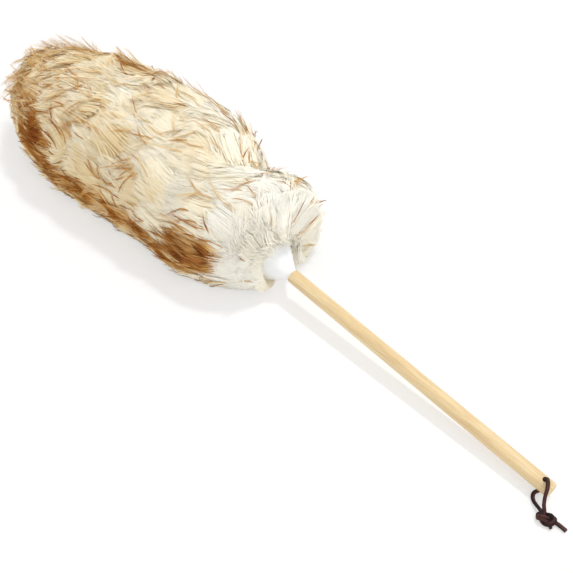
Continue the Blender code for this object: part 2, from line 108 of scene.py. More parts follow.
# Knot: both legs' ways through it, along its length, across it and up from its middle, in
# millimetres, and the points inside its bends that the lace's grain face turns away from
KNOT_PLACE = (18.4, -18.1, -6.35)
KNOT_TURN = math.radians(21.0)
KNOT_INSIDE = (0.0, 0.0, -0.5)
TAIL_INSIDE = (12.0, 0.0, -12.0)
UPPER_THROUGH_KNOT = [(-3.31, 4.05, 1.75), (-2.58, 1.66, 1.56), (-1.75, -0.92, 0.28),
                      (-0.46, -2.94, -0.46), (2.02, -3.31, 0.55), (4.23, -1.66, 1.75),
                      (4.6, 0.74, 2.02), (3.04, 2.85, 1.47), (0.37, 3.59, 0.37),
                      (-2.39, 3.13, -1.01), (-5.15, 2.02, -1.1), (-6.26, 0.09, 0.18),
                      (-4.88, -1.29, 1.75), (-2.21, -1.01, 2.12), (0.83, -0.18, 0.74),
                      (3.4, 0.37, -1.01), (6.26, 0.74, -1.75), (9.2, 0.18, -1.93),
                      (12.14, -0.92, -1.93), (15.64, -2.39, -1.93)]
LOWER_THROUGH_KNOT = [(-6.07, 4.6, 0.37), (-5.06, 2.39, 1.66), (-4.23, 0.09, 0.92),
                      (-3.22, -2.39, -0.74), (-0.74, -4.23, -1.47), (2.58, -4.05, -1.38),
                      (5.43, -2.12, -0.55), (6.16, 0.55, 0.37), (4.6, 3.22, -0.46),
                      (1.47, 4.42, -1.47), (-2.21, 4.51, -1.84), (-5.7, 3.31, -1.84),
                      (-6.99, 0.83, -1.56), (-6.35, -1.75, -0.55), (-4.05, -2.94, 1.2),
                      (-0.92, -2.76, 1.47), (1.84, -2.76, 0.28), (3.96, -4.05, -1.47),
                      (4.97, -5.61, -1.84)]

# Wool: how many tufts of each kind there are, how many strands each carries, and how many
# strands at most go into one mesh
WOOL_SEED = 7
GUIDES = 2600
STRANDS_PER_GUIDE = 34
LOCKS = 400
STRANDS_PER_LOCK = 12
WISPS = 900
LONG_WISPS = 300
STRANDS_PER_WISP = 8
FRINGE = 4200
STRANDS_PER_PIECE = 26000

# Kinds of tufts, in millimetres: the width of the root, the ranges of the tip's width, of the
# height over the relief, of the tip's rise and of the length, and the spread of the bends.
# A wisp's rise is drawn as a share, and make_wool turns it into millimetres
GUIDE = {"root": 8.5, "tip": (5.0, 9.0), "height": (-0.3, 0.3), "rise": (0, 1.2),
         "length": (24, 34), "bend": 1.0}
LOCK = {"root": 4.5, "tip": (0.6, 1.8), "height": (0.5, 2.0), "rise": (1, 7),
        "length": (26, 40), "bend": 2.2}
WISP = {"root": 1.1, "tip": (0.15, 0.4), "height": (0.8, 2.4), "rise": (0, 1),
        "length": (20, 40), "bend": 4.5}
LONG_WISP = {"root": 1.6, "tip": (0.1, 0.5), "height": (0.8, 2.4), "rise": (3, 9),
             "length": (34, 52), "bend": 6}

# How far tufts of each kind stray from the way that the wool lies
GUIDE_STRAY = 0.13
LOCK_STRAY = 0.30
WISP_STRAY = 0.22
LONG_WISP_STRAY = 0.14

# Strands: their levels from root to tip, and their widths there
LEVELS = np.array([0.0, 0.28, 0.54, 0.79, 1.0])
WIDTH_SHARES = np.array([0.85, 1.0, 0.9, 0.6])
STRAND_WIDTH = 1.0 * MM
LOCK_WIDTH = STRAND_WIDTH * 0.5
WISP_WIDTH = STRAND_WIDTH * 0.36
LONG_WISP_WIDTH = STRAND_WIDTH * 0.32
USUAL_LENGTH = 28 * MM
ROLL_SPREAD = math.radians(11)
SKYWARD = 0.35
END_SKYWARD = 0.5

# Colour families of strands, from the palest cream to the darkest brown
FAMILY_STEP = 0.004
CREAM_FIRST, CREAM_LAST = 0.01, 0.57
BROWN_FIRST, BROWN_LAST = 0.60, 0.99

# Where the wool lies
WOOL_FIRST_DEPTH = 8 * MM
WOOL_LAST_DEPTH = 404 * MM
WOOL_INNER_RADIUS = 19 * MM
RIM_DEPTH = 380 * MM
TIP_RADIUS = 45 * MM
COLLAR_DEPTH = 30 * MM
COLLAR_REACH = 19.6 * MM
NOTCH_RADIUS = 20 * MM
FRINGE_RADIUS = 20.5 * MM
FRINGE_TURN = math.radians(9)
UNDERCOAT_DEPTH = 1.1 * MM
FLOOR_GAP = 0.4 * MM
STRAND_LOWEST = FLOOR_GAP + 0.4 * MM

# Brown patches of the wool: depth in millimetres, angle in degrees, reach along in millimetres
# and round in degrees, how many of its locks are brown, and how dark they are
PATCHES = [
    (69, 79, 30, 28, 1.00, 1.00), (92, 74, 16, 10, 0.60, 0.84),
    (297, 76, 27, 18, 1.00, 0.96), (305, 92, 24, 12, 0.80, 0.86),
    (180, 94, 36, 17, 0.90, 0.89), (228, 96, 28, 14, 0.90, 0.86),
    (268, 98, 26, 12, 0.85, 0.82), (140, 96, 26, 13, 0.78, 0.86), (106, 99, 18, 12, 0.80, 0.86),
    (320, 60, 26, 20, 0.50, 0.74),
    (300, 30, 26, 12, 0.45, 0.70), (258, 44, 20, 10, 0.50, 0.72), (320, -14, 20, 12, 0.55, 0.74),
    (260, -17, 30, 8, 0.75, 0.80), (228, -24, 16, 8, 0.50, 0.78),
    (160, 24, 18, 8, 0.35, 0.72), (172, 50, 16, 10, 0.45, 0.76), (185, 66, 18, 8, 0.35, 0.74),
    (148, -42, 20, 10, 0.50, 0.76), (122, -44, 16, 12, 0.50, 0.76), (98, -32, 16, 12, 0.40, 0.74),
    (44, -30, 12, 14, 0.36, 0.76), (28, -55, 12, 20, 0.40, 0.78),
    (84, 42, 14, 12, 0.25, 0.72), (52, 14, 10, 10, 0.18, 0.70),
    (200, -110, 60, 30, 0.45, 0.78), (90, -120, 40, 26, 0.35, 0.74),
    (300, -90, 40, 30, 0.50, 0.80), (340, 150, 40, 40, 0.50, 0.80),
    (356, 30, 34, 60, 0.50, 0.67)]


def smooth_path(points, step):
    """Evenly spaced points on a smooth curve through the given ones."""
    points = np.array(points, float)
    ends = np.vstack((2 * points[0] - points[1], points, 2 * points[-1] - points[-2]))
    fine = []
    for before, start, end, after in zip(ends, ends[1:], ends[2:], ends[3:]):
        for t in np.linspace(0, 1, 16, endpoint=False):
            fine.append(0.5 * (2 * start + (end - before) * t
                               + (2 * before - 5 * start + 4 * end - after) * t ** 2
                               + (3 * start - before - 3 * end + after) * t ** 3))
    fine = np.array(fine + [points[-1]])
    travelled = np.concatenate(([0], np.cumsum(np.linalg.norm(np.diff(fine, axis=0), axis=1))))
    wanted = np.linspace(0, travelled[-1], max(2, round(travelled[-1] / step)) + 1)
    return np.stack([np.interp(wanted, travelled, fine[:, axis]) for axis in range(3)], 1)


def unit(vectors):
    return vectors / np.maximum(np.linalg.norm(vectors, axis=-1, keepdims=True), 1e-12)


def add_object(name, mesh, finish):
    mesh.materials.append(finish)
    piece = bpy.data.objects.new(name, mesh)
    bpy.context.scene.collection.objects.link(piece)
    return piece


class Shader:
    """A material's node tree, built a node at a time."""

    def __init__(self, name):
        self.material = bpy.data.materials.new(name)
        self.material.use_nodes = True
        self.tree = self.material.node_tree
        self.principled = self.tree.nodes["Principled BSDF"]

    def add(self, kind, **settings):
        node = self.tree.nodes.new(kind)
        for name, value in settings.items():
            setattr(node, name, value)
        return node

    def link(self, source, target):
        self.tree.links.new(source, target)

    def assign(self, socket, source):
        """Give the Principled node a value, or another node's output."""
        if isinstance(source, bpy.types.NodeSocket):
            self.link(source, self.principled.inputs[socket])
        else:
            self.principled.inputs[socket].default_value = source

    def attribute(self, name):
        return self.add("ShaderNodeAttribute", attribute_name=name).outputs["Fac"]

    def noise(self, scale, detail, roughness=0.5, turn=(0, 0, 0)):
        """Noise over object coordinates in metres times a scale along each axis."""
        place = self.add("ShaderNodeTexCoord")
        mapping = self.add("ShaderNodeMapping")
        mapping.inputs["Rotation"].default_value = turn
        mapping.inputs["Scale"].default_value = scale
        self.link(place.outputs["Object"], mapping.inputs["Vector"])
        node = self.add("ShaderNodeTexNoise")
        node.inputs["Scale"].default_value = 1.0
        node.inputs["Detail"].default_value = detail
        node.inputs["Roughness"].default_value = roughness
        self.link(mapping.outputs["Vector"], node.inputs["Vector"])
        return node.outputs["Fac"]

    def ramp(self, factor, stops):
        node = self.add("ShaderNodeValToRGB")
        while len(node.color_ramp.elements) < len(stops):
            node.color_ramp.elements.new(0.5)
        for element, (place, colour) in zip(node.color_ramp.elements, stops):
            element.position = place
            element.color = (*colour, 1.0)
        self.link(factor, node.inputs["Fac"])
        return node.outputs["Color"]

    def grey_ramp(self, factor, stops):
        return self.ramp(factor, [(place, (level, level, level)) for place, level in stops])

    def mix(self, factor, first, second):
        """Two colours, each given or another node's output, mixed by a factor."""
        node = self.add("ShaderNodeMix", data_type="RGBA")
        self.link(factor, node.inputs[0])
        for socket, source in ((6, first), (7, second)):
            if isinstance(source, bpy.types.NodeSocket):
                self.link(source, node.inputs[socket])
            else:
                node.inputs[socket].default_value = (*source, 1.0)
        return node.outputs[2]

    def plus(self, source, value):
        node = self.add("ShaderNodeMath", operation="ADD")
        self.link(source, node.inputs[0])
        node.inputs[1].default_value = value
        return node.outputs[0]

    def bump(self, height, distance, strength):
        node = self.add("ShaderNodeBump")
        node.inputs["Distance"].default_value = distance
        node.inputs["Strength"].default_value = strength
        self.link(height, node.inputs["Height"])
        self.link(node.outputs["Normal"], self.principled.inputs["Normal"])


def wood_material():
    """Pale straight-grained dowel: long fibres, fine pores and a few darker streaks."""
    shader = Shader("pale_wood")
    turn = (0.0, -TILT, 0.0)
    fibres = shader.noise((14, 900, 900), 4, 0.6, turn)
    bands = shader.noise((5, 170, 170), 2, turn=turn)
    pores = shader.noise((60, 2600, 2600), 2, turn=turn)
    base = shader.ramp(bands, [(0.3, (0.74, 0.54, 0.28)), (0.55, (0.83, 0.65, 0.37)),
                               (0.8, (0.89, 0.74, 0.46))])
    grained = shader.mix(shader.grey_ramp(fibres, [(0.42, 0), (0.7, 0.6)]),
                         base, (0.58, 0.38, 0.18))
    flecked = shader.mix(shader.grey_ramp(pores, [(0.62, 0), (0.74, 0.45)]),
                         grained, (0.42, 0.26, 0.12))
    shader.assign("Base Color", flecked)
    shader.assign("Roughness", 0.48)
    shader.bump(fibres, 0.12 * MM, 0.6)
    return shader.material


def collar_material():
    """White moulded plastic with a faint, uneven sheen."""
    shader = Shader("white_moulded_plastic")
    cloud = shader.noise((60, 60, 60), 2)
    shader.assign("Base Color", shader.ramp(cloud, [(0.3, (0.86, 0.87, 0.88)),
                                                    (0.7, (0.91, 0.92, 0.92))]))
    shader.assign("Roughness", shader.grey_ramp(cloud, [(0.3, 0.34), (0.7, 0.42)]))
    shader.bump(shader.noise((900, 900, 900), 1), 0.04 * MM, 0.5)
    return shader.material


def leather_material():
    """Dark brown lace: worn brown grain sides and near-black cut edges."""
    shader = Shader("brown_leather_lace")
    grain = shader.noise((1500, 1500, 1500), 4, 0.65)
    cloud = shader.noise((260, 260, 260), 3)
    face = shader.ramp(cloud, [(0.3, (0.036, 0.010, 0.008)), (0.7, (0.092, 0.030, 0.023))])
    speckled = shader.mix(shader.grey_ramp(grain, [(0.5, 0), (0.75, 0.5)]),
                          face, (0.14, 0.056, 0.044))
    shader.assign("Base Color", shader.mix(shader.attribute("edge"), speckled,
                                           (0.008, 0.004, 0.004)))
    shader.assign("Roughness", 0.62)
    shader.assign("Specular IOR Level", 0.22)
    shader.bump(grain, 0.15 * MM, 0.7)
    return shader.material


def plain_material(name, low, high, roughness, metallic=0.0, scale=400):
    """Two close tones in a fine mottle, for the pieces inside the head."""
    shader = Shader(name)
    mottle = shader.noise((scale, scale, scale), 3)
    shader.assign("Base Color", shader.ramp(mottle, [(0.35, low), (0.65, high)]))
    shader.assign("Roughness", roughness)
    shader.assign("Metallic", metallic)
    shader.bump(mottle, 0.1 * MM, 0.4)
    return shader.material


def strand_material():
    """Wool strand: its colour family runs along U and its length along V. Towards the root it is
    darker and warmer, as painted shade deep in the pile.
    """
    shader = Shader("wool_strands")
    place = shader.add("ShaderNodeUVMap", uv_map="OFBake").outputs["UV"]
    split = shader.add("ShaderNodeSeparateXYZ")
    shader.link(place, split.inputs[0])
    family, along = split.outputs[0], split.outputs[1]
    outer = shader.ramp(family, [(0.0, (1.0, 0.98, 0.89)), (0.3, (0.98, 0.895, 0.68)),
                                 (0.57, (0.86, 0.70, 0.43)), (0.7, (0.86, 0.67, 0.37)),
                                 (0.85, (0.72, 0.43, 0.15)), (1.0, (0.48, 0.20, 0.05))])
    # Root colours, darker and warmer than the outer ones: painted shade deep in the pile between
    # the strands
    inner = shader.ramp(family, [(0.0, (1.0, 0.965, 0.87)), (0.3, (0.96, 0.86, 0.63)),
                                 (0.57, (0.82, 0.64, 0.36)), (0.85, (0.62, 0.34, 0.11)),
                                 (1.0, (0.36, 0.13, 0.03))])
    body = shader.mix(shader.grey_ramp(along, [(0.15, 0), (0.75, 1)]), inner, outer)
    tip = shader.ramp(family, [(0.0, (1.0, 0.98, 0.90)), (0.58, (0.94, 0.83, 0.60)),
                               (0.64, (0.76, 0.50, 0.20)), (0.74, (0.60, 0.30, 0.075)),
                               (0.84, (0.42, 0.155, 0.026)), (0.93, (0.24, 0.064, 0.011)),
                               (1.0, (0.13, 0.030, 0.006))])
    start = shader.grey_ramp(family, [(0.6, 0.6), (0.75, 0.45), (0.9, 0.3), (1.0, 0.2)])
    browning = shader.add("ShaderNodeMapRange", interpolation_type="SMOOTHSTEP")
    shader.link(along, browning.inputs["Value"])
    shader.link(start, browning.inputs["From Min"])
    shader.link(shader.plus(start, 0.32), browning.inputs["From Max"])
    shader.assign("Base Color", shader.mix(browning.outputs["Result"], body, tip))
    shader.assign("Roughness", 0.8)
    shader.assign("Specular IOR Level", 0.04)
    return shader.material


def undercoat_material():
    """Dense wool: cream that deepens towards the tip and, as painted shade, in the recess under
    the collar, and brown on the patches.
    """
    shader = Shader("wool_undercoat")
    fuzz = shader.noise((120, 420, 420), 5, 0.7)
    pale = shader.ramp(fuzz, [(0.3, (0.97, 0.90, 0.74)), (0.7, (1.0, 0.97, 0.88))])
    deep = shader.ramp(fuzz, [(0.3, (0.93, 0.77, 0.48)), (0.7, (1.0, 0.89, 0.64))])
    # Tan that grows towards the tip, and painted shade under the collar
    body = shader.mix(shader.attribute("tan_and_painted_shade"), pale, deep)
    shader.assign("Base Color", shader.mix(shader.attribute("patch"), body,
                                           (0.36, 0.14, 0.035)))
    shader.assign("Roughness", 0.9)
    shader.bump(fuzz, 2 * MM, 0.8)
    return shader.material


def add_to_scene(name, data):
    thing = bpy.data.objects.new(name, data)
    thing.rotation_mode = "QUATERNION"
    bpy.context.scene.collection.objects.link(thing)
    return thing


def make_camera():
    back = Vector((math.sin(CAMERA_AZIMUTH) * math.cos(CAMERA_ELEVATION),
                   -math.cos(CAMERA_AZIMUTH) * math.cos(CAMERA_ELEVATION),
                   math.sin(CAMERA_ELEVATION)))
    data = bpy.data.cameras.new("camera")
    data.lens = CAMERA_LENS
    data.sensor_width = SENSOR_WIDTH
    camera = add_to_scene("camera", data)
    camera.location = JOINT + CAMERA_FROM_JOINT
    camera.rotation_quaternion = (-back).to_track_quat("-Z", "Y")
    bpy.context.scene.camera = camera


def add_sun(name, power, direction, angle):
    data = bpy.data.lights.new(name, "SUN")
    data.energy = power
    data.angle = angle
    sun = add_to_scene(name, data)
    sun.rotation_quaternion = (-Vector(direction)).to_track_quat("-Z", "Y")


def seen_instead(tree, lighting, seen):
    """What camera, glossy and transmission rays see, in place of what lights the object."""
    rays = tree.nodes.new("ShaderNodeLightPath")
    chosen = rays.outputs["Is Camera Ray"]
    for kind in ("Is Glossy Ray", "Is Transmission Ray"):
        either = tree.nodes.new("ShaderNodeMath")
        either.operation = "MAXIMUM"
        tree.links.new(chosen, either.inputs[0])
        tree.links.new(rays.outputs[kind], either.inputs[1])
        chosen = either.outputs[0]
    choice = tree.nodes.new("ShaderNodeMixShader")
    for socket, source in enumerate((chosen, lighting, seen)):
        tree.links.new(source, choice.inputs[socket])
    return choice.outputs[0]


def make_sky():
    """Pale sky that lights the object, and is white where it is seen."""
    world = bpy.data.worlds.new("sky")
    world.use_nodes = True
    bpy.context.scene.world = world
    tree = world.node_tree
    sky = tree.nodes["Background"]
    sky.inputs["Color"].default_value = WHITE
    sky.inputs["Strength"].default_value = SKY_POWER
    seen = tree.nodes.new("ShaderNodeBackground")
    seen.inputs["Color"].default_value = WHITE
    tree.links.new(seen_instead(tree, sky.outputs[0], seen.outputs[0]),
                   tree.nodes["World Output"].inputs["Surface"])


def make_floor():
    """Pale floor that the camera sees as white but for the shadows."""
    shader = Shader("floor_white")
    shader.assign("Base Color", FLOOR_BOUNCE)
    shader.assign("Roughness", 1.0)
    shader.assign("Specular IOR Level", 0.0)
    matte = shader.add("ShaderNodeBsdfDiffuse")
    matte.inputs["Color"].default_value = FLOOR_MATTE
    glow = shader.add("ShaderNodeEmission")
    glow.inputs["Color"].default_value = FLOOR_GLOW
    glow.inputs["Strength"].default_value = FLOOR_GLOW_POWER
    both = shader.add("ShaderNodeAddShader")
    shader.link(matte.outputs[0], both.inputs[0])
    shader.link(glow.outputs[0], both.inputs[1])
    shader.link(seen_instead(shader.tree, shader.principled.outputs[0], both.outputs[0]),
                shader.tree.nodes["Material Output"].inputs["Surface"])
    mesh = bpy.data.meshes.new("floor")
    near, far = -FLOOR_REACH, FLOOR_REACH
    mesh.from_pydata([(near, near, 0), (far, near, 0), (far, far, 0), (near, far, 0)], [],
                     [(0, 1, 2, 3)])
    add_object("floor", mesh, shader.material)


def make_studio():
    """The two suns, the sky and the floor."""
    bpy.context.scene.view_settings.view_transform = "Standard"
    add_sun("key", **KEY_SUN)
    add_sun("fill", **FILL_SUN)
    make_sky()
    make_floor()


def lace_section():
    """Corner points of the lace's rounded section, and how much each is a cut edge."""
    section = []
    for corner, (side, level) in enumerate(((1, 1), (-1, 1), (-1, -1), (1, -1))):
        for step in range(3):
            angle = corner * math.pi / 2 + step * math.pi / 4
            across = side * (1 - LACE_ROUNDING) + LACE_ROUNDING * math.cos(angle)
            up = level * (1 - LACE_ROUNDING) + LACE_ROUNDING * math.sin(angle)
            section.append((across * LACE_WIDTH / 2, up * LACE_THICKNESS / 2,
                            abs(math.cos(angle)) ** 2))
    return section


def make_lace(name, route, points_inside, finish):
    """Leather lace along a route, its grain face turned away from a point inside each bend."""
    path = smooth_path(route, LACE_STEP)
    for _ in range(LACE_EASING):
        path[1:-1] = (path[:-2] + 2 * path[1:-1] + path[2:]) / 4
    centres = smooth_path(points_inside, LACE_STEP)
    share = np.linspace(0, 1, len(path))
    inside = np.stack([np.interp(share, np.linspace(0, 1, len(centres)), centres[:, axis])
                       for axis in range(3)], 1)
    along = unit(np.gradient(path, axis=0))
    up = path - inside
    up -= (up * along).sum(1, keepdims=True) * along
    up = unit(up)
    for _ in range(LACE_TURN_EASING):
        up[1:-1] = (up[:-2] + 2 * up[1:-1] + up[2:]) / 4
        up = unit(up - (up * along).sum(1, keepdims=True) * along)
    across = np.cross(along, up)
    section = lace_section()
    sides = len(section)
    verts = np.array([path[i] + across[i] * a + up[i] * b
                      for i in range(len(path)) for a, b, _ in section])
    verts[:, 2] = np.maximum(verts[:, 2], LACE_LOWEST)
    faces = [[i * sides + j, i * sides + (j + 1) % sides, (i + 1) * sides + (j + 1) % sides,
              (i + 1) * sides + j] for i in range(len(path) - 1) for j in range(sides)]
    faces.append(list(range(sides))[::-1])
    faces.append([(len(path) - 1) * sides + j for j in range(sides)])
    mesh = bpy.data.meshes.new(name)
    mesh.from_pydata(verts.tolist(), [], faces)
    mesh.shade_smooth()
    mesh.set_sharp_from_angle(angle=LACE_SHARP)
    edge = mesh.attributes.new("edge", "FLOAT", "POINT")
    edge.data.foreach_set("value", [e for _ in path for _, _, e in section])
    lace = add_object(name, mesh, finish)
    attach(lace, "thong")
    length = float(np.linalg.norm(np.diff(path, axis=0), axis=1).sum())
    return lace, path, length


def from_hole(points):
    """Places of points that are given from the hang hole's centre."""
    return [HANG_HOLE + Vector(point) * MM for point in points]


def from_knot(points):
    """Places of points that are given along the knot, across it and up from its middle."""
    middle = HANG_HOLE + Vector(KNOT_PLACE) * MM
    along = Vector((math.cos(KNOT_TURN), math.sin(KNOT_TURN), 0))
    across = Vector((-math.sin(KNOT_TURN), math.cos(KNOT_TURN), 0))
    return [middle + (along * u + across * v + Vector((0, 0, w))) * MM for u, v, w in points]


def make_thong():
    """The lace's two legs, which meet in the hang hole and are tied in one overhand knot."""
    leather = leather_material()
    loop, = from_hole([LOOP_INSIDE])
    knot, tail = from_knot([KNOT_INSIDE, TAIL_INSIDE])
    inside = [loop, loop, knot, knot, knot, tail]
    upper, path, length = make_lace(
        "lace_upper", from_hole(UPPER_LEG) + from_knot(UPPER_THROUGH_KNOT), inside, leather)
    lower, path, length = make_lace(
        "lace_lower", from_hole(LOWER_LEG) + from_knot(LOWER_THROUGH_KNOT), inside[:-1], leather)
    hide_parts("thong_loop", "thong_knot", "thong_tail_long", "thong_tail_short")


def dress_nodes():
    """Better materials on the CAD nodes that stay."""
    hide = plain_material("hide", (0.62, 0.50, 0.34), (0.74, 0.62, 0.46), 0.85, scale=300)
    grey = plain_material("grey_plastic", (0.50, 0.50, 0.51), (0.58, 0.58, 0.59), 0.5)
    steel = plain_material("staple_wire", (0.58, 0.58, 0.60), (0.70, 0.70, 0.72), 0.3, 1.0, 900)
    finishes = {"handle": wood_material(), "collar": collar_material(), "core_tube": grey,
                "tip_plug": grey, "hide_sleeve": hide}
    for name, node in NODES.items():
        finish = finishes.get(name, steel if name.startswith("hide_staple") else None)
        if finish:
            for material_slot in node.material_slots:
                material_slot.material = finish


def on_axis(points):
    """Depth, angle from straight up and radius of points about the duster's axis."""
    arm = points - AXIS_ORIGIN
    side, up = arm @ NEARWARD, arm @ UPWARD
    return arm @ FORWARD, np.arctan2(side, up), np.hypot(side, up)


def from_axis(depth, angle, radius):
    """Points by their depth, angle and radius about the duster's axis."""
    outward = np.sin(angle)[..., None] * NEARWARD + np.cos(angle)[..., None] * UPWARD
    return AXIS_ORIGIN + depth[..., None] * FORWARD + radius[..., None] * outward


def fade(value, low, high):
    """Smooth step from 0 at the low value to 1 at the high one."""
    share = np.clip((value - low) / (high - low), 0, 1)
    return share * share * (3 - 2 * share)


def towards(angle, bearing):
    """1 where an angle faces a bearing in degrees, down to 0 on the opposite side."""
    return 0.5 * (1 + np.cos(angle - math.radians(bearing)))


def random_waves(wavelength, seed, count=14):
    """A smooth random field in space, of about unit spread."""
    rng = np.random.default_rng(seed)
    ways = unit(rng.normal(size=(count, 3))) * rng.uniform(0.7, 1.4, (count, 1))
    phases = rng.uniform(0, 2 * math.pi, count)

    def field(points):
        turns = points @ ways.T * (2 * math.pi / wavelength) + phases
        return np.sin(turns).sum(-1) * math.sqrt(2 / count)
    return field


LOBES = random_waves(38 * MM, 3)
SMALL_LOBES = random_waves(22 * MM, 4)
LEANING = random_waves(60 * MM, 11)
SWIRLS = [random_waves(48 * MM, seed) for seed in (21, 22, 23)]
TONES = random_waves(45 * MM, 31)
RIDGES = random_waves(42 * MM, 41)
FRINGE_TURNS = random_waves(20 * MM, 51)


def tip_place(places):
    """Depth and angle about where the tip of a strand comes that lies at a place."""
    depth, angle, _ = on_axis(places)
    return depth + 9 * MM * fade(depth, 20 * MM, 60 * MM), angle


def brownness(depth, angle):
    """How many locks are brown at a place on the head, and how dark they are."""
    depth, angle = depth / MM, np.degrees(angle)
    plain = np.full(depth.shape, 1.0)
    weight = np.full(depth.shape, 1e-6)
    dark = np.full(depth.shape, 0.7e-6)
    for middle, bearing, reach, sweep, share, tone in PATCHES:
        turn = (angle - bearing + 180) % 360 - 180
        here = share * np.exp(-((depth - middle) / reach) ** 2 - (turn / sweep) ** 2)
        plain *= 1 - here
        weight += here
        dark += here * tone
    return 1 - plain, dark / weight


def vectors_of(collection, attribute, kind=float):
    """An attribute of each of a mesh's vertices or triangles, as rows of three numbers."""
    values = np.empty(len(collection) * 3, kind)
    collection.foreach_get(attribute, values)
    return values.reshape(-1, 3)


class Envelope:
    """The CAD fleece's outer surface: its triangles, and its radius by depth and angle."""

    def __init__(self):
        mesh = NODES["fleece"].data
        mesh.calc_loop_triangles()
        points = vectors_of(mesh.vertices, "co")
        normals = vectors_of(mesh.vertices, "normal")
        triangles = vectors_of(mesh.loop_triangles, "vertices", int)
        depth, _, radius = on_axis(points[triangles].mean(1))
        outer = (radius > WOOL_INNER_RADIUS) | (depth > RIM_DEPTH)
        self.corners = points[triangles[outer]]
        self.normals = normals[triangles[outer]]
        sides = self.corners[:, 1:] - self.corners[:, :1]
        self.areas = np.linalg.norm(np.cross(sides[:, 0], sides[:, 1]), axis=1) / 2
        tree = BVHTree.FromPolygons([Vector(p) for p in points], triangles.tolist())
        self.depths = np.linspace(WOOL_FIRST_DEPTH, WOOL_LAST_DEPTH, 150)
        self.angles = np.radians(np.arange(-180, 181, 4.0))
        outside = 0.2
        grid = np.empty((len(self.depths), len(self.angles)))
        for i, depth in enumerate(self.depths):
            for j, angle in enumerate(self.angles):
                outward = math.sin(angle) * NEARWARD + math.cos(angle) * UPWARD
                start = AXIS_ORIGIN + depth * FORWARD + outside * outward
                hit = tree.ray_cast(Vector(start), Vector(-outward), outside)
                grid[i, j] = outside - hit[3] if hit[0] else 0
        self.grid = grid
        self.first = self.depths[(grid > 0).argmax(0)]

    def radius(self, depth, angle):
        """Radius of the surface, interpolated between the rays that were cast."""
        row = np.clip((depth - self.depths[0]) / (self.depths[1] - self.depths[0]), 0,
                      len(self.depths) - 1.001)
        column = np.clip((angle - self.angles[0]) / (self.angles[1] - self.angles[0]), 0,
                         len(self.angles) - 1.001)
        i, j = row.astype(int), column.astype(int)
        s, t = row - i, column - j
        grid = self.grid
        return ((grid[i, j] * (1 - s) + grid[i + 1, j] * s) * (1 - t)
                + (grid[i, j + 1] * (1 - s) + grid[i + 1, j + 1] * s) * t)

    def base(self, angle):
        """Depth at which the wool starts, by angle."""
        return np.interp(angle, self.angles, self.first)

    def sample(self, rng, count, spread=True):
        """Points on the surface and their normals, kept apart from each other if asked."""
        tries = count * 5 if spread else count
        chosen = rng.choice(len(self.areas), tries, p=self.areas / self.areas.sum())
        a, b = np.sqrt(rng.random(tries)), rng.random(tries)
        weights = np.stack((1 - a, a * (1 - b), a * b), 1)[..., None]
        points = (self.corners[chosen] * weights).sum(1)
        normals = unit((self.normals[chosen] * weights).sum(1))
        if not spread:
            return points, normals
        apart = 0.74 * math.sqrt(self.areas.sum() / count)
        taken, kept = {}, []
        for index, cell in enumerate(np.floor(points / apart).astype(int).tolist()):
            near = [taken.get((cell[0] + i, cell[1] + j, cell[2] + k), ())
                    for i in (-1, 0, 1) for j in (-1, 0, 1) for k in (-1, 0, 1)]
            if any(((points[index] - points[other]) ** 2).sum() < apart ** 2
                   for group in near for other in group):
                continue
            taken.setdefault(tuple(cell), []).append(index)
            kept.append(index)
            if len(kept) == count:
                break
        return points[kept], normals[kept]


def relief(points):
    """How far the combed wool stands out from the CAD fleece, in metres; below 0 it is inside."""
    depth, angle, _ = on_axis(points)
    near = towards(angle, 100)
    drawn_in = 3.0 * near * fade(depth, 80 * MM, 140 * MM) \
        + (1.5 + 5.0 * near) * fade(depth, 230 * MM, 370 * MM)
    return (-0.6 - drawn_in + 1.1 * LOBES(points) + 0.5 * SMALL_LOBES(points)) * MM


def growth(points, normals):
    """Which way the wool lies along the surface, how much of its end face it is, and its comb."""
    depth, angle, _ = on_axis(points)
    outward = unit(from_axis(0 * depth, angle, 1 + 0 * depth) - AXIS_ORIGIN)
    near = towards(angle, 120)
    share = (depth - 25 * MM) / (380 * MM)
    far_lean = np.interp(share, (0.0, 0.05, 0.2, 0.5, 0.9), (-0.7, -0.4, 0.3, 0.8, 1.0))
    lean = 1.5 * near + far_lean * (1 - near) + 0.25 * LEANING(points)
    drift = np.interp(share, (0.1, 0.5, 0.9), (0.15, 0.45, 0.3))
    swirl = np.stack([field(points) for field in SWIRLS], 1)
    flow = 0.55 * outward + lean[:, None] * FORWARD + drift[:, None] * NEARWARD + 0.34 * swirl
    combed = (np.exp(-((np.degrees(angle) - 78) / 48) ** 2)
              * (1 - fade(depth, 75 * MM, 125 * MM)))[:, None]
    flow = unit(unit(flow) * (1 - combed) + combed * (FORWARD + 0.08 * swirl))
    end_face = fade(-(normals @ FORWARD), 0.45, 0.8)[:, None]
    flow = unit(flow * (1 - end_face) + end_face * (outward + 0.12 * swirl))
    flow = unit(flow - (flow * normals).sum(1, keepdims=True) * normals)
    return flow, end_face[:, 0], combed[:, 0]


def short_of_rim(envelope, places, normals, length):
    """Lengths of strands, cut on the head's far end so that they don't stand past its rim."""
    _, angle, radius = on_axis(places)
    room = envelope.radius(0 * angle + RIM_DEPTH, angle) - radius
    far_end = normals @ FORWARD > 0.6
    return np.where(far_end, np.clip(room + 6 * MM, 8 * MM, length), length)


def tuft_sizes(rng, kind, count, raised=lambda rise: rise):
    """Random sizes in metres of tufts of a kind, their rises changed by a function in mm."""
    drawn = {name: rng.uniform(*kind[name], count)
             for name in ("tip", "height", "rise", "length")}
    drawn["bend"] = rng.normal(0, kind["bend"], count)
    drawn["root"] = np.full(count, kind["root"])
    drawn["rise"] = raised(drawn["rise"])
    return {name: size * MM for name, size in drawn.items()}


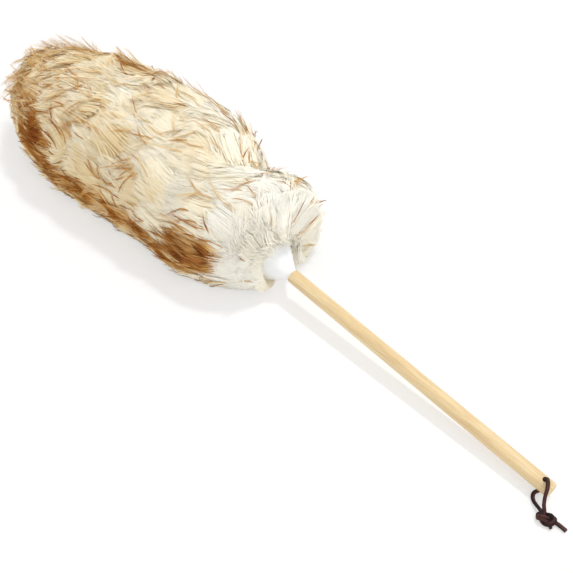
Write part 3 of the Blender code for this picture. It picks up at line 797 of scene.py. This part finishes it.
def grow(envelope, rng, places, normals, strands, sizes, stray):
    """Paths of all strands of some tufts, each (tufts x strands) x levels x 3.

    A tuft lies along the surface from below the undercoat up to its height, and its tip
    stands up by its rise. Its strands are spread by one width at the root and another at the
    tip, and bend to the side. It strays by a share from the way that the wool lies there.
    A strand that is left out has no numbers in its path.
    """
    flow, end_face, combed = growth(places, normals)
    scatter = rng.normal(size=places.shape)
    scatter -= (scatter * normals).sum(1, keepdims=True) * normals
    flow = unit(flow + stray * (1 - 0.7 * combed[:, None]) * scatter)
    side = np.cross(normals, flow)
    shape = (len(places), strands)
    place_depth, place_angle, place_radius = on_axis(places)

    # On the end face round the collar, strands are about as long as their room to the rim
    low = 0.5 * (1 - np.cos(place_angle))
    room = envelope.radius(envelope.base(place_angle) + 12 * MM, place_angle) - place_radius
    reach = (1.2 - 0.3 * low) * room + 3 * (1 - low) * MM
    length = sizes["length"] * (1 + 0.5 * combed)
    length = np.where(end_face > 0.3, np.clip(reach, (7 - 4 * low) * MM, length), length)
    length = length[:, None] * rng.uniform(0.78, 1.15, shape)

    # Along the surface and across it
    across = rng.uniform(-1, 1, shape) + rng.uniform(-0.4, 0.4, shape)
    start = rng.uniform(-0.5, 0.5, shape) * sizes["root"][:, None] * 1.5
    t = LEVELS
    behind = 0.5 * fade(place_depth, 10 * MM, 45 * MM)[:, None, None]
    along = start[..., None] * (1 - t) * behind * 2 + length[..., None] * (t - behind)
    width = sizes["root"][:, None, None] * (1 - t) + sizes["tip"][:, None, None] * t
    arc = sizes["bend"][:, None, None] * ((2 * t - 0.6) ** 2 - 0.7)
    phase = rng.uniform(0, 2 * math.pi, (len(places), 1, 1)) + rng.normal(0, 0.6, (*shape, 1))
    curl = 0.7 * MM * t * np.cos(phase + 6.0 * t)
    path = places[:, None, None] + along[..., None] * flow[:, None, None] \
        + (width * across[..., None] + arc + curl)[..., None] * side[:, None, None]

    # Up from the undercoat
    level = sizes["height"][:, None, None] + rng.uniform(-0.25, 0.25, (*shape, 1)) * MM
    root = -UNDERCOAT_DEPTH - 0.4 * MM
    at_collar = 1 - 2 * behind
    lift = root + (level - root) * np.minimum((1.5 + 9 * at_collar) * t, 1) ** 0.8 \
        + sizes["rise"][:, None, None] * t ** 2.4 + at_collar * (0.8 + 1.2 * t) * MM
    lift = (lift + relief(places)[:, None, None]).reshape(-1, len(LEVELS))
    path = path.reshape(-1, len(LEVELS), 3)

    # Round the head with its surface, or straight on end faces and in the collar's notch
    depth, angle, _ = on_axis(path)
    flare = (0.5 + 8 * np.cos(angle / 2) ** 2) * MM * LEVELS
    depth = np.maximum(depth, envelope.base(angle) + 1 * MM - flare)
    hugging = np.maximum(envelope.radius(depth, angle), NOTCH_RADIUS) + lift
    around = from_axis(depth, angle, hugging)
    round_tip = np.repeat(fade(place_depth, 290 * MM, 350 * MM), strands)[:, None]
    drop = round_tip * along.reshape(-1, len(LEVELS)) ** 2 / (2 * TIP_RADIUS)
    clear = path + np.repeat(normals, strands, 0)[:, None] * (lift - drop)[..., None]
    facing = fade(np.abs(normals @ FORWARD), 0.5, 0.85)
    inner = fade(envelope.radius(place_depth, place_angle) - place_radius, 1.5 * MM, 5 * MM)
    on_floor = normals[:, 2] < -0.5
    free = np.repeat(np.where(on_floor, 0, np.maximum(facing, inner)), strands)[:, None]
    path = around * (1 - free[..., None]) + clear * free[..., None]

    # Strands in the collar, and those past the rim under it, are left out
    depth, angle, radius = on_axis(path)
    in_collar = ((depth < COLLAR_DEPTH) & (radius < COLLAR_REACH)).any(1)
    under_collar = (inner > 0.5) & (place_depth < COLLAR_DEPTH) & (low > 0.4)
    past_rim = (depth < envelope.base(angle) + 0.5 * MM).any(1)
    path[in_collar | (np.repeat(under_collar, strands) & past_rim)] = np.nan
    path[..., 2] = np.maximum(path[..., 2], STRAND_LOWEST)
    return path


def collar_fringe(envelope, rng):
    """Fluff that leans over the collar at the top, and runs back along the wool elsewhere."""
    angle = rng.uniform(-math.pi, math.pi, FRINGE)
    top = np.cos(angle / 2 + FRINGE_TURN) ** 2
    back = rng.random(FRINGE) > fade(top, 0.35, 0.9)
    depth = envelope.base(angle) + np.where(back, rng.uniform(0, 5, FRINGE),
                                            rng.uniform(0, 10, FRINGE)) * MM
    start = FRINGE_RADIUS + rng.uniform(0, 1, FRINGE) ** 1.5 * np.where(back, 3, 12) * MM
    reach = np.where(back, rng.uniform(14, 30, FRINGE),
                     -rng.uniform(6, 12, FRINGE) * (0.25 + 1.1 * top)) * MM
    turn = 0.22 * FRINGE_TURNS(from_axis(depth, angle, start)) + rng.normal(0, 0.08, FRINGE)
    rise = rng.uniform(0, 5, FRINGE) * MM * (1.4 - top)
    t = LEVELS
    depth = depth[:, None] + reach[:, None] * t ** 1.3
    angle = angle[:, None] + turn[:, None] * t ** 1.5
    surface = np.maximum(envelope.radius(depth, angle), FRINGE_RADIUS) + (0.6 + 1.6 * t) * MM
    laid = start[:, None] + (surface - start[:, None]) * np.minimum(2.4 * t, 1)
    leaning = np.maximum(start[:, None] + rise[:, None] * t ** 1.2, NOTCH_RADIUS)
    paths = from_axis(depth, angle, np.where(back[:, None], laid, leaning))
    paths[..., 2] = np.maximum(paths[..., 2], STRAND_LOWEST)
    middle = angle[:, 2:3]
    outward = np.sin(middle) * NEARWARD + np.cos(middle) * UPWARD
    return paths, unit(outward - 0.5 * FORWARD)


def wool_piece(name, paths, families, softened, widths, rolls, finish):
    """One mesh of flat strands that taper to a point, with their broad sides turned outward."""
    count, levels = len(paths), len(LEVELS) - 1
    along = unit(paths[:, -1] - paths[:, 0])
    side = unit(np.cross(along, softened))
    up = np.cross(side, along)
    across = side * np.cos(rolls)[:, None] + up * np.sin(rolls)[:, None]
    half_widths = (widths[:, None] * WIDTH_SHARES / 2)[:, :, None, None]
    edges = paths[:, :-1, None] + np.array((1, -1))[:, None] * across[:, None, None] * half_widths
    edges[..., 2] = np.maximum(edges[..., 2], FLOOR_GAP)
    verts = np.concatenate((edges.reshape(count, -1, 3), paths[:, -1:]), 1)
    turned = np.array((1, -1))[:, None] * across[:, None]
    normals = unit(softened[:, None] + 0.15 * np.concatenate(
        (np.tile(turned, (1, levels, 1)), along[:, None]), 1))
    faces, v_of, u_of = [], [], []
    for level in range(levels - 1):
        a = level * 2
        low, high = LEVELS[level], LEVELS[level + 1]
        faces += [(a, a + 3, a + 1), (a, a + 2, a + 3)]
        v_of += [(low, high, low), (low, high, high)]
        u_of += [(1, -1, -1), (1, 1, -1)]
    faces.append((levels * 2 - 2, levels * 2, levels * 2 - 1))
    v_of.append((LEVELS[-2], 1.0, LEVELS[-2]))
    u_of.append((1, 0, -1))
    per_strand = levels * 2 + 1
    corner = (np.array(faces)[None] + (np.arange(count) * per_strand)[:, None, None]).reshape(-1)
    u = (families[:, None] + FAMILY_STEP * np.array(u_of).reshape(1, -1)).reshape(-1)
    # A long strand has the colours of one of the usual length at its tip, and the root's below
    lengths = np.linalg.norm(np.diff(paths, axis=1), axis=2).sum(1) / USUAL_LENGTH
    v = np.array(v_of).reshape(1, -1)
    near_tip = np.maximum(1 - (1 - v) * np.maximum(lengths, 1)[:, None], 0)
    v = (0.02 * v + 0.98 * near_tip).reshape(-1)
    mesh = bpy.data.meshes.new(name)
    mesh.vertices.add(count * per_strand)
    mesh.vertices.foreach_set("co", verts.astype(np.float32).reshape(-1))
    mesh.loops.add(len(corner))
    mesh.loops.foreach_set("vertex_index", corner.astype(np.int32))
    mesh.polygons.add(len(corner) // 3)
    mesh.polygons.foreach_set("loop_start", np.arange(0, len(corner), 3, dtype=np.int32))
    mesh.update(calc_edges=True)
    mesh.shade_smooth()
    layer = mesh.uv_layers.new(name="OFBake")
    layer.data.foreach_set("uv", np.stack((u, v), 1).astype(np.float32).reshape(-1))
    mesh.normals_split_custom_set_from_vertices(normals.reshape(-1, 3).tolist())
    piece = add_object(name, mesh, finish)
    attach(piece, "duster")


def make_undercoat():
    """The dense wool below the strands: the fleece drawn in along its normals."""
    work = bmesh.new()
    work.from_mesh(NODES["fleece"].data)
    bmesh.ops.remove_doubles(work, verts=work.verts, dist=0.02 * MM)
    bmesh.ops.subdivide_edges(work, edges=work.edges, cuts=2, use_grid_fill=True, smooth=0)
    points = np.array([vert.co for vert in work.verts])
    depth, angle, radius = on_axis(points)
    work.normal_update()
    normals = np.array([vert.normal for vert in work.verts])
    outer = np.maximum(fade(radius, 24 * MM, 40 * MM), fade(depth, RIM_DEPTH, RIM_DEPTH + 6 * MM))
    moved = points + normals * (outer * (relief(points) - UNDERCOAT_DEPTH))[:, None]
    moved[:, 2] = np.maximum(moved[:, 2], FLOOR_GAP)
    for vert, place in zip(work.verts, moved.tolist()):
        vert.co = place
    mesh = bpy.data.meshes.new("wool_undercoat")
    work.to_mesh(mesh)
    work.free()
    mesh.shade_smooth()
    share, _ = brownness(depth, angle)
    patch = mesh.attributes.new("patch", "FLOAT", "POINT")
    patch.data.foreach_set("value", np.clip(share - 0.35, 0, 1).astype(np.float32))
    tan_and_painted_shade = mesh.attributes.new("tan_and_painted_shade", "FLOAT", "POINT")
    # Half tan in the recess under the collar: painted shade; elsewhere the tan grows towards the
    # tip
    under_collar = (1 - fade(radius, 22 * MM, 28 * MM)) * (1 - fade(depth, 20 * MM, 40 * MM)) \
        * fade(-np.cos(angle), -0.2, 0.3)
    tan_and_painted_shade.data.foreach_set("value", np.maximum(fade(depth, 90 * MM, 200 * MM),
                                             0.5 * under_collar).astype(np.float32))
    while mesh.materials:
        mesh.materials.pop()
    undercoat = add_object("wool_undercoat", mesh, undercoat_material())
    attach(undercoat, "duster")
    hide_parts("fleece")


def cream(rng, places, spread):
    """Colour families of cream wool: deeper towards the tip, and deeper on the head's near, lower
    side as painted shade.
    """
    depth, angle, _ = on_axis(places)
    # The third term deepens the cream where the head faces near and down, away from the key
    # light: painted shade
    family = 0.03 + 0.20 * fade(depth, 30 * MM, 100 * MM) \
        + 0.26 * fade(depth, 130 * MM, 330 * MM) \
        + 0.34 * towards(angle, 110) ** 3 * fade(depth, 60 * MM, 150 * MM) \
        + 0.08 * TONES(places)
    return np.clip(family + rng.normal(0, spread, len(places)), CREAM_FIRST, CREAM_LAST)


def coloured(rng, paths, places, strands, spread):
    """Colour families of strands: cream, or brown by where their outer part lies."""
    share, dark = brownness(*on_axis(paths[:, -2])[:2])
    uneven = np.repeat(rng.normal(0, 0.08, len(places)), strands)
    browning = np.clip((share + uneven + rng.normal(0, 0.05, len(paths)) - 0.48) / 0.34, 0, 1)
    family = np.repeat(cream(rng, places, spread), strands)
    brown = BROWN_FIRST + (dark - BROWN_FIRST) * browning + rng.normal(0, 0.03, len(paths))
    return np.where(browning > 0, np.clip(brown, BROWN_FIRST, BROWN_LAST), family)


def make_wool():
    envelope = Envelope()
    make_undercoat()
    rng = np.random.default_rng(WOOL_SEED)
    groups = []

    def add(paths, strands, width, family, normals):
        skyward = SKYWARD + END_SKYWARD * fade(-(normals @ FORWARD), 0.4, 0.8)
        softened = unit(normals + skyward[:, None] * np.array((0, 0, 1)))
        if len(family) < len(paths):
            family = np.repeat(family, strands)
        groups.append((paths, family, np.repeat(softened, strands, 0),
                       np.full(len(paths), width)))

    # Guides: the combed wool all over the head
    places, normals = envelope.sample(rng, GUIDES)
    sizes = tuft_sizes(rng, GUIDE, len(places))
    sizes["length"] = short_of_rim(envelope, places, normals, sizes["length"])
    paths = grow(envelope, rng, places, normals, STRANDS_PER_GUIDE, sizes, GUIDE_STRAY)
    add(paths, STRANDS_PER_GUIDE, STRAND_WIDTH,
        coloured(rng, paths, places, STRANDS_PER_GUIDE, 0.012), normals)

    # Locks: narrower tufts that stand up from it
    places, normals = envelope.sample(rng, LOCKS)
    sizes = tuft_sizes(rng, LOCK, len(places))
    paths = grow(envelope, rng, places, normals, STRANDS_PER_LOCK, sizes, LOCK_STRAY)
    add(paths, STRANDS_PER_LOCK, LOCK_WIDTH,
        coloured(rng, paths, places, STRANDS_PER_LOCK, 0.05), normals)

    # Wisps: thin brown tufts, most of them on patches, on ridges and at the tip
    places, normals = envelope.sample(rng, WISPS * 3, spread=False)
    depth, angle = tip_place(places)
    share, dark = brownness(depth, angle)
    ridges = np.clip(RIDGES(places), 0, 1)
    kept = np.flatnonzero(rng.random(len(places)) < 0.02 + 0.2 * ridges
                          + 0.3 * fade(depth, 310 * MM, 370 * MM) + share * 1.2)[:WISPS]
    places, normals, angle = places[kept], normals[kept], angle[kept]
    share, dark = share[kept], dark[kept]
    family = np.where(share > 0.12, dark + 0.06, rng.uniform(0.68, 0.86, len(places)))
    family = np.clip(family + rng.normal(0, 0.04, len(places)), 0.66, 0.88)
    near = towards(angle, 100)
    sizes = tuft_sizes(rng, WISP, len(places), lambda rise: rise ** 1.6 * (10 - 6 * near))
    paths = grow(envelope, rng, places, normals, STRANDS_PER_WISP, sizes, WISP_STRAY)
    add(paths, STRANDS_PER_WISP, WISP_WIDTH, family, normals)

    # Long wisps: tan tufts on the head's top, most of them at the tip
    places, normals = envelope.sample(rng, LONG_WISPS * 8, spread=False)
    depth, angle, _ = on_axis(places)
    at_tip = fade(depth, 300 * MM, 360 * MM)
    kept = np.flatnonzero((depth > 60 * MM) & (np.abs(np.degrees(angle) + 5) < 75)
                          & (rng.random(len(places)) < 0.10 + 0.90 * at_tip))[:LONG_WISPS]
    places, normals, at_tip = places[kept], normals[kept], at_tip[kept]
    sizes = tuft_sizes(rng, LONG_WISP, len(places), lambda rise: rise + 9 * at_tip)
    paths = grow(envelope, rng, places, normals, STRANDS_PER_WISP, sizes, LONG_WISP_STRAY)
    family = np.clip(rng.normal(0.70, 0.06, len(places)), 0.61, 0.86)
    add(paths, STRANDS_PER_WISP, LONG_WISP_WIDTH, family, normals)

    paths, normals = collar_fringe(envelope, rng)
    family = np.clip(rng.normal(0.04, 0.03, len(paths)), 0.01, 0.2)
    add(paths, 1, LOCK_WIDTH, family, normals)

    paths, family, soft, widths = (np.concatenate(parts) for parts in zip(*groups))
    whole = ~np.isnan(paths).any((1, 2))
    paths, family, soft, widths = paths[whole], family[whole], soft[whole], widths[whole]
    rolls = rng.normal(0, ROLL_SPREAD, len(paths))
    order = np.argsort(on_axis(paths[:, -1])[0])
    finish = strand_material()
    pieces = math.ceil(len(order) / STRANDS_PER_PIECE)
    for number, chosen in enumerate(np.array_split(order, pieces), 1):
        wool_piece(f"wool_{number:02d}", paths[chosen], family[chosen], soft[chosen],
                   widths[chosen], rolls[chosen], finish)


make_camera()
make_studio()
dress_nodes()
make_thong()
make_wool()
